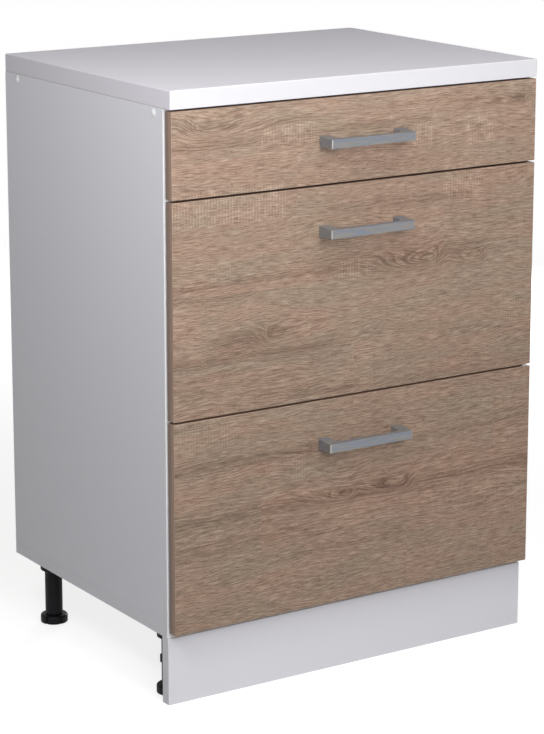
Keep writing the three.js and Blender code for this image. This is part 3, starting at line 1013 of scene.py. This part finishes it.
def notched_grip():
    tree = Workshop("foot_notches", {
        "Notches": "Int", "Grip radius": "Float", "Notch radius": "Float", "Notch depth": "Float",
    })
    given = tree.given
    ring = given["Grip radius"] + given["Notch radius"] - given["Notch depth"]
    circle = tree.add("GeometryNodeMeshCircle", {"fill_type": "NONE"}, {
        "Vertices": given["Notches"], "Radius": ring,
    })
    cutter = tree.add("GeometryNodeMeshCylinder", {"fill_type": "NGON"}, {
        "Vertices": CUTTER_SIDES, "Radius": given["Notch radius"], "Depth": CUTTER_LENGTH * MM,
    })
    inputs = {"Points": circle, "Instance": cutter}
    cutters = tree.add("GeometryNodeInstanceOnPoints", inputs=inputs)
    half_pitch = tree.vector(0.0, 0.0, math.pi / given["Notches"])
    inputs = {"Geometry": cutters, "Rotation": half_pitch}
    turned = tree.add("GeometryNodeTransform", inputs=inputs)
    solid = tree.add("GeometryNodeRealizeInstances", inputs={"Geometry": turned})
    cut = tree.add("GeometryNodeMeshBoolean", {"operation": "DIFFERENCE", "solver": "EXACT"}, {
        "Mesh 1": given["Geometry"], "Mesh 2": [solid],
    })
    tree.finish(cut, black_plastic)
    return tree


grip_tree = notched_grip()


def foot(node):
    spot = middle(node)
    stem_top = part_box(node)[1].z / MM
    profile = round_corners([
        (0, 0),
        (FOOT_PAD_RADIUS, 0),
        (FOOT_PAD_RADIUS, FOOT_PAD_HEIGHT),
        (FOOT_RADIUS, FOOT_PAD_HEIGHT),
        (FOOT_RADIUS, FOOT_HEIGHT - FOOT_SHOULDER),
        (FOOT_RADIUS - FOOT_SHOULDER, FOOT_HEIGHT),
        (FOOT_STEM_RADIUS, FOOT_HEIGHT),
        (FOOT_STEM_RADIUS, stem_top),
        (0, stem_top),
    ], FOOT_ROUNDING, steps=4)
    bm = bmesh.new()
    turn(bm, profile, LEG_ROUND, Matrix.Identity(4))
    disc = bpy.data.meshes.new(node + "_disc")
    bm.to_mesh(disc)
    bm.free()
    notched = grip_tree.run(disc, {
        "Notches": FOOT_NOTCHES,
        "Grip radius": FOOT_RADIUS * MM,
        "Notch radius": NOTCH_RADIUS * MM,
        "Notch depth": NOTCH_DEPTH * MM,
    })
    bm = bmesh.new()
    bm.from_mesh(notched)
    bmesh.ops.remove_doubles(bm, verts=bm.verts, dist=0.01 * MM)
    bmesh.ops.translate(bm, verts=bm.verts, vec=Vector((spot.x, spot.y, 0)))
    finished(bm, node, [black_plastic])


for corner in CORNERS:
    foot(f"foot_{corner}")

# %% [markdown]
# ## Plinth
# The plinth board hides the legs. Two clips on its back snap round the front legs, so that it
# can be pulled off for cleaning.

# %% Plinth board and clips
soft_piece("plinth_board", [white_board, chipboard])
for hand in HANDS:
    soft_piece(f"plinth_clip_{hand}", [black_plastic], segments=2)

# %% [markdown]
# ## Drawer fronts
# A front is chipboard with the oak decor on its face, a strip in the same decor on its four
# edges, and white coating on the back. Its edges are rounded by about half a millimetre, and
# catch the light.

# %% Fronts
FRONT_FINISHES = [oak, white_board, oak_strip]
FRONT_ROUNDING = 0.6


def front_faces(face):
    """Decor on the face, white behind, and the strip on the edges."""
    if face.normal.y > 0.9:
        return 1
    return 0 if face.normal.y < -0.7 else 2


for drawer in DRAWERS:
    soft_piece(f"{drawer}_front", FRONT_FINISHES, FRONT_ROUNDING, 4, front_faces)

# %% [markdown]
# ## Handles
# A bow handle is cast in one piece. Its edges are rounded by nearly a millimetre. The upright
# edges at the bar's ends get a paler, fully metallic finish: a painted highlight, which shows as
# thin bright lines.

# %% Handles
HANDLE_FINISHES = [handle_metal, handle_highlight]
HANDLE_ROUNDING = 0.8


def handle_faces(face):
    """1 for the rounding of the upright front edges, which gets the painted highlight."""
    x, y, z = face.normal
    return 1 if abs(x) > 0.2 and y < -0.2 and abs(z) < 0.3 else 0


for drawer in DRAWERS:
    soft_piece(
        f"{drawer}_handle", HANDLE_FINISHES, HANDLE_ROUNDING, 4, handle_faces
    )

# %% [markdown]
# ## Drawer boxes
# Each drawer is a steel side left and right, with a coated bottom and back between them. The
# steel is folded, so its edges are only just rounded.

# %% Drawer boxes and runners
for drawer in DRAWERS:
    for board in ("bottom", "back"):
        soft_piece(
            f"{drawer}_{board}", [white_board, chipboard], 0.4, 2, raw_at_the_back
        )
    for hand in HANDS:
        soft_piece(f"{drawer}_side_{hand}", [white_steel], 0.3, 2)
        soft_piece(f"{drawer}_runner_{hand}", [white_steel], 0.3, 2)

# %% [markdown]
# Each runner has one roller on the cabinet and one on the drawer. A roller is a nylon wheel
# with a rounded tread and a sunk ring in each face, where the mould saved plastic.

# %% Rollers
ROLLER_BORE = 2.8
ROLLER_ROUND = 48
ROLLER_ROUNDING = 0.5
RING_SINK = 1.2
RING_INNER_SHARE = 0.52
RING_OUTER_SHARE = 0.8


def roller(node):
    low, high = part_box(node)
    rim = (high.z - low.z) / 2 / MM
    half = (high.x - low.x) / 2 / MM
    sunk = half - RING_SINK
    inner, outer = rim * RING_INNER_SHARE, rim * RING_OUTER_SHARE
    bore_side = [(ROLLER_BORE, -half), (inner, -half), (inner, -sunk), (outer, -sunk)]
    profile = bore_side + [(outer, -half), (rim, -half), (rim, half), (outer, half)]
    profile += [(outer, sunk), (inner, sunk), (inner, half), (ROLLER_BORE, half)]
    profile = round_corners(profile, ROLLER_ROUNDING, steps=2)
    profile.append(profile[0])
    bm = bmesh.new()
    turn(bm, profile, ROLLER_ROUND, Matrix.Translation(middle(node)) @ ALONG_X)
    bmesh.ops.remove_doubles(bm, verts=bm.verts, dist=0.001 * MM)
    bmesh.ops.recalc_face_normals(bm, faces=bm.faces)
    finished(bm, node, [roller_plastic])


for drawer in DRAWERS:
    for end in ("front", "rear"):
        for hand in HANDS:
            roller(f"{drawer}_{end}_roller_{hand}")

# %% [markdown]
# ## Screws
# The cabinet is held together by some ninety screws. They all look alike, so Geometry Nodes
# make one pan head with a cross in it, and put it on every point of a mesh. Each point knows
# which way its screw faces, and a seeded random number turns each cross, as on real work.

# %% A tree for screw heads
HEAD_SIDES = 24
HEAD_TOP_SHARE = 0.76
CROSS_LENGTH_SHARE = 1.15
CROSS_WIDTH_SHARE = 0.26
CROSS_LIFT_SHARE = 0.95


def screw_tree():
    sizes = {"Head radius": "Float", "Head height": "Float", "Seed": "Int"}
    tree = Workshop("screw_heads", sizes)
    given = tree.given
    radius, height = given["Head radius"], given["Head height"]
    pan = tree.add("GeometryNodeMeshCone", {"fill_type": "NGON"}, {
        "Vertices": HEAD_SIDES, "Radius Top": radius * HEAD_TOP_SHARE, "Radius Bottom": radius,
        "Depth": height,
    })
    bars = []
    cross = (CROSS_LENGTH_SHARE, CROSS_WIDTH_SHARE)
    for along_x, along_y in (cross, cross[::-1]):
        size = tree.vector(radius * along_x, radius * along_y, height)
        bar = tree.add("GeometryNodeMeshCube", inputs={"Size": size})
        lift = tree.vector(0.0, 0.0, height * CROSS_LIFT_SHARE)
        bars.append(tree.add(
            "GeometryNodeTransform", inputs={"Geometry": bar, "Translation": lift}
        ))
    head = tree.add("GeometryNodeMeshBoolean", {"operation": "DIFFERENCE", "solver": "EXACT"}, {
        "Mesh 1": pan, "Mesh 2": bars,
    })
    facing = tree.add(
        "GeometryNodeInputNamedAttribute", {"data_type": "FLOAT_VECTOR"}, {"Name": "facing"}
    )
    upright = tree.add("FunctionNodeAlignRotationToVector", {"axis": "Z"}, {"Vector": facing})
    turned = tree.add("FunctionNodeRandomValue", {"data_type": "FLOAT"}, {
        2: 0.0, 3: 2 * math.pi, "Seed": given["Seed"],
    }, output=1)
    spin = tree.add("FunctionNodeAxisAngleToRotation", inputs={"Angle": turned})
    rotation = tree.add("FunctionNodeRotateRotation", {"rotation_space": "LOCAL"}, {
        "Rotation": upright, "Rotate By": spin,
    })
    screws = tree.add("GeometryNodeInstanceOnPoints", inputs={
        "Points": given["Geometry"], "Instance": head, "Rotation": rotation,
    })
    tree.finish(screws, zinc)
    return tree


heads = screw_tree()

# %% [markdown]
# The places come from the solids they hold: a handle's two screws sit behind its legs, a steel
# side is screwed to the front, the bottom and the back, and a runner has three screws on its
# web.

# %% Where the screws are
STEEL = 1.2
SEAM = 0.3
HANDLE_LEG_MIDDLE = 8
TAB_X = 276.0
TAB_RISE = 29
BOTTOM_SCREW_INSET = 6
BOTTOM_SCREWS_Y = (-170, -60, 50, 160)
BACK_SCREW_INSET = 8
BACK_SCREW_RISE = 42
BACK_SCREW_DROP = 30
RUNNER_SCREWS_Y = (-140, 10, 150)
PLATE_SCREWS = ((-19, -19), (-19, 19), (19, -19), (19, 19))
SIDE_BOARD_X = 292.0
SIDE_SCREWS_Y = (-165, 20, 215)
RAIL_SCREW_X = 180.0


def both_hands(places):
    """The places given for the right-hand side, and their mirror images."""
    mirrored = [((-x, y, z), (-fx, fy, fz)) for (x, y, z), (fx, fy, fz) in places]
    return places + mirrored


def box_mm(node):
    """The lowest and the highest corner, and the middle, in millimetres."""
    low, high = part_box(node)
    return low / MM, high / MM, middle(node) / MM


def drawer_screws(drawer):
    front_back = box_mm(f"{drawer}_front")[1].y
    _, handle_high, handle_middle = box_mm(f"{drawer}_handle")
    side_low, side_high, _ = box_mm(f"{drawer}_side_right")
    web_x = box_mm(f"{drawer}_bottom")[1].x + SEAM
    handle_spot = (handle_high.x - HANDLE_LEG_MIDDLE, front_back, handle_middle.z)
    places = [(handle_spot, (0, 1, 0))]
    places.append(((TAB_X, side_low.y + STEEL, side_low.z + TAB_RISE), (0, 1, 0)))
    for y in BOTTOM_SCREWS_Y:
        places.append(((web_x - BOTTOM_SCREW_INSET, y, side_low.z), (0, 0, -1)))
    lowest = side_low.z + BACK_SCREW_RISE
    for z in (lowest, side_high.z - BACK_SCREW_DROP):
        if z > lowest - 1:
            places.append(((web_x + STEEL, side_high.y - BACK_SCREW_INSET, z), (1, 0, 0)))
    return both_hands(places)


def carcass_screws():
    places = []
    for drawer in DRAWERS:
        _, high, centre = box_mm(f"{drawer}_runner_right")
        for y in RUNNER_SCREWS_Y:
            places.append(((high.x - STEEL, y, centre.z), (-1, 0, 0)))
    for end in ("front", "rear"):
        _, high, centre = box_mm(f"leg_{end}_right")
        for dx, dy in PLATE_SCREWS:
            spot = (centre.x + dx, centre.y + dy, high.z - PLATE_THICKNESS)
            places.append((spot, (0, 0, -1)))
    below = box_mm("bottom_panel")[0].z
    for y in SIDE_SCREWS_Y:
        places.append(((SIDE_BOARD_X, y, below), (0, 0, -1)))
    for rail in ("top_rail_front", "top_rail_rear"):
        low, _, centre = box_mm(rail)
        places.append(((RAIL_SCREW_X, centre.y, low.z), (0, 0, -1)))
    return both_hands(places)


# %% Screws for each body
HEAD_SINK = 0.2


def put_screws(name, body, places, radius_mm, height_mm, seed):
    """One mesh of screw heads that rides on a body. A head stands a little into what it holds."""
    mesh = bpy.data.meshes.new(name + "_points")
    lift = height_mm / 2 - HEAD_SINK
    spots = [(Vector(spot) + Vector(facing) * lift) * MM for spot, facing in places]
    mesh.from_pydata(spots, [], [])
    facings = mesh.attributes.new("facing", "FLOAT_VECTOR", "POINT")
    for value, (_, facing) in zip(facings.data, places):
        value.vector = facing
    sizes = {"Head radius": radius_mm * MM, "Head height": height_mm * MM, "Seed": seed}
    screws = add_object(name, heads.run(mesh, sizes))
    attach(screws, body)
    print(name, len(places), "heads,", len(screws.data.polygons), "faces")


put_screws("carcass_screws", "carcass", carcass_screws(), 3.4, 0.9, 3)
for seed, drawer in enumerate(DRAWERS):
    put_screws(f"{drawer}_screws", drawer, drawer_screws(drawer), 3.2, 1.1, seed)

# %% [markdown]
# ## The studio
# The object is lit as in a photographer's booth, by soft square lamps: a large one in front on
# the left, one above that makes the fronts and the worktop brighter towards the front and the
# top, a small one on the left for the side, and one behind on the right, so that the back and
# the right side aren't black. The floor and the world look white to the camera and in
# reflections, but light the cabinet much less than a real white room would, so its own shadow
# stays on the floor.

# %% Floor and world
WORLD_LIGHT = 0.064
WORLD_SEEN_BY = {"Is Camera Ray": 1.0, "Is Glossy Ray": 0.8, "Is Transmission Ray": 0.8}
GLOW_NEAR = 0.78
GLOW_FAR = 0.97
NEAR_MM = 900.0
FAR_MM = 3500.0
FLOOR_HALF_WIDTH = 30.0
FLOOR_PAINT = color(166, 166, 166)


def make_floor():
    recipe = Recipe("studio_floor")
    x, y, _ = recipe.coordinates()
    away = recipe.math("SQRT", x * x + y * y)
    glow = recipe.step(away, NEAR_MM, FAR_MM) * (GLOW_FAR - GLOW_NEAR) + GLOW_NEAR
    camera_ray = recipe.add("ShaderNodeLightPath", output="Is Camera Ray")
    glossy_ray = recipe.add("ShaderNodeLightPath", output="Is Glossy Ray")
    shown = recipe.math("MAXIMUM", camera_ray, glossy_ray)
    paint = recipe.add("ShaderNodeBsdfDiffuse", inputs={"Color": opaque(FLOOR_PAINT)})
    light = recipe.add("ShaderNodeEmission", inputs={"Strength": shown * glow})
    both = recipe.add("ShaderNodeAddShader", inputs={0: paint, 1: light})
    recipe.add("ShaderNodeOutputMaterial", inputs={"Surface": both})
    half = FLOOR_HALF_WIDTH
    mesh = bpy.data.meshes.new("studio_floor")
    corners = [(-half, -half, 0), (half, -half, 0), (half, half, 0), (-half, half, 0)]
    mesh.from_pydata(corners, [], [(0, 1, 2, 3)])
    mesh.materials.append(recipe.material)
    floor = add_object("studio_floor", mesh)


def make_world():
    world = bpy.data.worlds.new("studio")
    world.use_nodes = True
    world.node_tree.nodes.clear()
    graph = Graph(world.node_tree)
    strength = WORLD_LIGHT
    for ray, brightness in WORLD_SEEN_BY.items():
        seen = graph.add("ShaderNodeLightPath", output=ray)
        strength = graph.math("MAXIMUM", seen * brightness, strength)
    white = opaque((1.0, 1.0, 1.0))
    background = graph.add(
        "ShaderNodeBackground", inputs={"Color": white, "Strength": strength}
    )
    graph.add("ShaderNodeOutputWorld", inputs={"Surface": background})
    bpy.context.scene.world = world


make_floor()
make_world()
bpy.context.scene.view_settings.view_transform = "Standard"
print("light from the world:", WORLD_LIGHT)

# %% Lamps


def softbox(name, at, towards, size, watts):
    data = bpy.data.lights.new(name, "AREA")
    data.shape = "SQUARE"
    data.size = size
    data.energy = watts
    lamp = add_object(name, data)
    lamp.location = at
    lamp.rotation_euler = (Vector(towards) - Vector(at)).to_track_quat("-Z", "Y").to_euler()
    lamp.visible_camera = False
    print(name, "of", watts, "W")


CABINET = (0.0, -0.1, 0.6)
softbox("side_softbox", (-1.1, -0.58, 1.36), CABINET, 0.4, 7.4)
softbox("upper_softbox", (0.0, -1.1, 1.75), CABINET, 1.2, 11.3)
softbox("front_softbox", (-0.62, -2.15, 1.18), CABINET, 1.1, 27.8)
softbox("rear_softbox", (1.8, 1.9, 0.55), (0.1, 0.1, 0.45), 0.6, 34.0)
